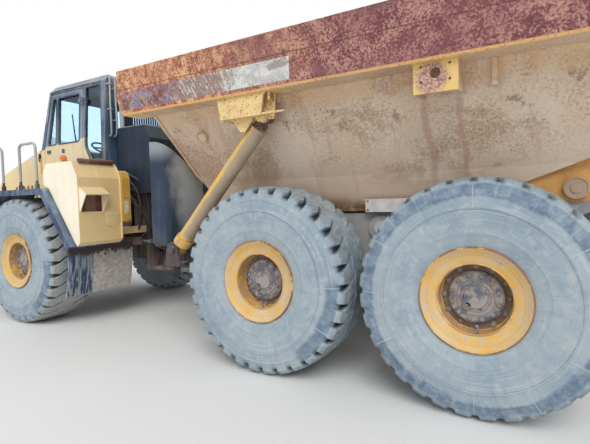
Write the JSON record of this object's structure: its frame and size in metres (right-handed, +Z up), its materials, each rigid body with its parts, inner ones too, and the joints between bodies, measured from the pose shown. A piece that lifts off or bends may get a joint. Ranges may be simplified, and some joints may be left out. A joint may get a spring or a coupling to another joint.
{
  "type": "articulated dump truck",
  "caption": "Articulated dump truck with three driven axles, hinged steering frame, cab, tilting hood and a tipping bed raised by telescopic cylinders.",
  "frame": {"origin": "on the ground, under the middle of the truck's box as it stands straight with the bed down", "axes": "+X forwards to the hood, +Y to the left, +Z up"},
  "size_m": [11.1, 3.4394, 3.7349],
  "materials": {
    "tyre": "dusty, worn",
    "rim": "matt paint, scratched",
    "frame": "dusty paint",
    "engine": "dull",
    "cab_paint": "faded paint",
    "dark_trim": "matt",
    "navy_paint": "dusty paint",
    "flap_rubber": "dusty",
    "glass": "clear, dusty",
    "interior": "matt",
    "seat_cloth": "woven, worn",
    "lamp": "clear lens",
    "shaft_steel": "dull",
    "bed_paint": "dusty paint with rust",
    "cylinder_paint": "faded paint",
    "rod_chrome": "polished"
  },
  "bodies": {
    "rear": {"rear_frame": "frame", "bogie_axles": "frame", "equalizer_beams": "frame", "wing_plates": "navy_paint", "drive_line": "shaft_steel", "tail_lamps": "lamp"},
    "hitch": {"hitch": "frame", "hitch_ears": "frame"},
    "front": {"front_frame": "frame", "front_clevis": "frame", "front_spine": "frame", "front_bumper": "frame", "cab_deck": "frame", "front_axle": "frame", "engine": "engine", "front_fenders": "navy_paint", "mud_flaps": "flap_rubber", "handrails": "dark_trim", "cab_tub": "cab_paint", "cab_frame": "navy_paint", "cab_glass": "glass", "cab_interior": "interior", "seat_base": "seat_cloth", "seat_back": "seat_cloth", "intake_box": "cab_paint", "fuel_tank": "cab_paint", "rear_cover": "navy_paint", "exhaust": "dark_trim", "lamps": "lamp"},
    "hood": {"hood": "cab_paint", "grille": "dark_trim"},
    "door": {"door": "cab_paint", "door_glass": "glass"},
    "bed": {"bed": "bed_paint"},
    "wheel_front_left": {"tyre_front_left": "tyre", "rim_front_left": "rim"},
    "wheel_front_right": {"tyre_front_right": "tyre", "rim_front_right": "rim"},
    "wheel_mid_left": {"tyre_mid_left": "tyre", "rim_mid_left": "rim"},
    "wheel_mid_right": {"tyre_mid_right": "tyre", "rim_mid_right": "rim"},
    "wheel_rear_left": {"tyre_rear_left": "tyre", "rim_rear_left": "rim"},
    "wheel_rear_right": {"tyre_rear_right": "tyre", "rim_rear_right": "rim"},
    "hoist_barrel_left": {"hoist_barrel_left": "cylinder_paint"},
    "hoist_stage_left": {"hoist_stage_left": "rod_chrome"},
    "hoist_rod_left": {"hoist_rod_left": "rod_chrome"},
    "steer_barrel_left": {"steer_barrel_left": "cylinder_paint"},
    "steer_rod_left": {"steer_rod_left": "rod_chrome"},
    "hoist_barrel_right": {"hoist_barrel_right": "cylinder_paint"},
    "hoist_stage_right": {"hoist_stage_right": "rod_chrome"},
    "hoist_rod_right": {"hoist_rod_right": "rod_chrome"},
    "steer_barrel_right": {"steer_barrel_right": "cylinder_paint"},
    "steer_rod_right": {"steer_rod_right": "rod_chrome"}
  },
  "joints": [
    {"name": "frame_roll", "type": "hinge", "parent": "rear", "child": "hitch", "pos_m": [0.6, 0, 1], "axis": [1, 0, 0], "range_deg": [-12, 12]},
    {"name": "steering", "type": "hinge", "parent": "hitch", "child": "front", "pos_m": [1.15, 0, 1], "axis": [0, 0, 1], "range_deg": [-45, 45]},
    {"name": "bed_tip", "type": "hinge", "parent": "rear", "child": "bed", "pos_m": [-4.41, 0, 1.765], "axis": [0, -1, 0], "range_deg": [0, 70]},
    {"name": "hood_tilt", "type": "hinge", "parent": "front", "child": "hood", "pos_m": [5.29, 0, 1.34], "axis": [0, 1, 0], "range_deg": [0, 60]},
    {"name": "door_swing", "type": "hinge", "parent": "front", "child": "door", "pos_m": [2.092, 0.872, 2.8], "axis": [0, 0, 1], "range_deg": [0, 50]},
    {"name": "wheel_front_left_spin", "type": "hinge", "parent": "front", "child": "wheel_front_left", "pos_m": [2.6, 1.345, 0.9375], "axis": [0, 1, 0], "continuous": true},
    {"name": "wheel_front_right_spin", "type": "hinge", "parent": "front", "child": "wheel_front_right", "pos_m": [2.6, -1.345, 0.9375], "axis": [0, 1, 0], "continuous": true},
    {"name": "wheel_mid_left_spin", "type": "hinge", "parent": "rear", "child": "wheel_mid_left", "pos_m": [-1.75, 1.345, 0.9375], "axis": [0, 1, 0], "continuous": true},
    {"name": "wheel_mid_right_spin", "type": "hinge", "parent": "rear", "child": "wheel_mid_right", "pos_m": [-1.75, -1.345, 0.9375], "axis": [0, 1, 0], "continuous": true},
    {"name": "wheel_rear_left_spin", "type": "hinge", "parent": "rear", "child": "wheel_rear_left", "pos_m": [-3.72, 1.345, 0.9375], "axis": [0, 1, 0], "continuous": true},
    {"name": "wheel_rear_right_spin", "type": "hinge", "parent": "rear", "child": "wheel_rear_right", "pos_m": [-3.72, -1.345, 0.9375], "axis": [0, 1, 0], "continuous": true},
    {"name": "hoist_swing_left", "type": "hinge", "parent": "rear", "child": "hoist_barrel_left", "pos_m": [-0.45, 1.43, 1.19], "axis": [0, -1, 0], "range_deg": [0, 5.68]},
    {"name": "hoist_stage_left", "type": "slide", "parent": "hoist_barrel_left", "child": "hoist_stage_left", "axis": [-0.6846, 0, 0.729], "range_m": [0, 1.5843]},
    {"name": "hoist_rod_left", "type": "slide", "parent": "hoist_stage_left", "child": "hoist_rod_left", "axis": [-0.6846, 0, 0.729], "range_m": [0, 1.5843]},
    {"name": "hoist_swing_right", "type": "hinge", "parent": "rear", "child": "hoist_barrel_right", "pos_m": [-0.45, -1.43, 1.19], "axis": [0, -1, 0], "range_deg": [0, 5.68]},
    {"name": "hoist_stage_right", "type": "slide", "parent": "hoist_barrel_right", "child": "hoist_stage_right", "axis": [-0.6846, 0, 0.729], "range_m": [0, 1.5843]},
    {"name": "hoist_rod_right", "type": "slide", "parent": "hoist_stage_right", "child": "hoist_rod_right", "axis": [-0.6846, 0, 0.729], "range_m": [0, 1.5843]},
    {"name": "steer_swing_left", "type": "hinge", "parent": "front", "child": "steer_barrel_left", "pos_m": [2.1, 0.52, 1.15], "axis": [0, 0, 1], "range_deg": [-1.15, 1.15]},
    {"name": "steer_slide_left", "type": "slide", "parent": "steer_barrel_left", "child": "steer_rod_left", "axis": [-0.9846, -0.1748, 0], "range_m": [-0.2485, 0.2485]},
    {"name": "steer_swing_right", "type": "hinge", "parent": "front", "child": "steer_barrel_right", "pos_m": [2.1, -0.52, 1.15], "axis": [0, 0, 1], "range_deg": [-1.15, 1.15]},
    {"name": "steer_slide_right", "type": "slide", "parent": "steer_barrel_right", "child": "steer_rod_right", "axis": [-0.9846, 0.1748, 0], "range_m": [-0.2485, 0.2485]}
  ],
  "couplings": [
    {"joint": "hoist_swing_left", "follows": "bed_tip", "ratio": 0.08045},
    {"joint": "hoist_stage_left", "follows": "bed_tip", "m_per_rad": 1.2959},
    {"joint": "hoist_rod_left", "follows": "bed_tip", "m_per_rad": 1.2959},
    {"joint": "hoist_swing_right", "follows": "bed_tip", "ratio": 0.08045},
    {"joint": "hoist_stage_right", "follows": "bed_tip", "m_per_rad": 1.2959},
    {"joint": "hoist_rod_right", "follows": "bed_tip", "m_per_rad": 1.2959},
    {"joint": "steer_swing_left", "follows": "steering", "ratio": -0.02439},
    {"joint": "steer_slide_left", "follows": "steering", "m_per_rad": -0.31511},
    {"joint": "steer_swing_right", "follows": "steering", "ratio": -0.02439},
    {"joint": "steer_slide_right", "follows": "steering", "m_per_rad": 0.31511}
  ]
}
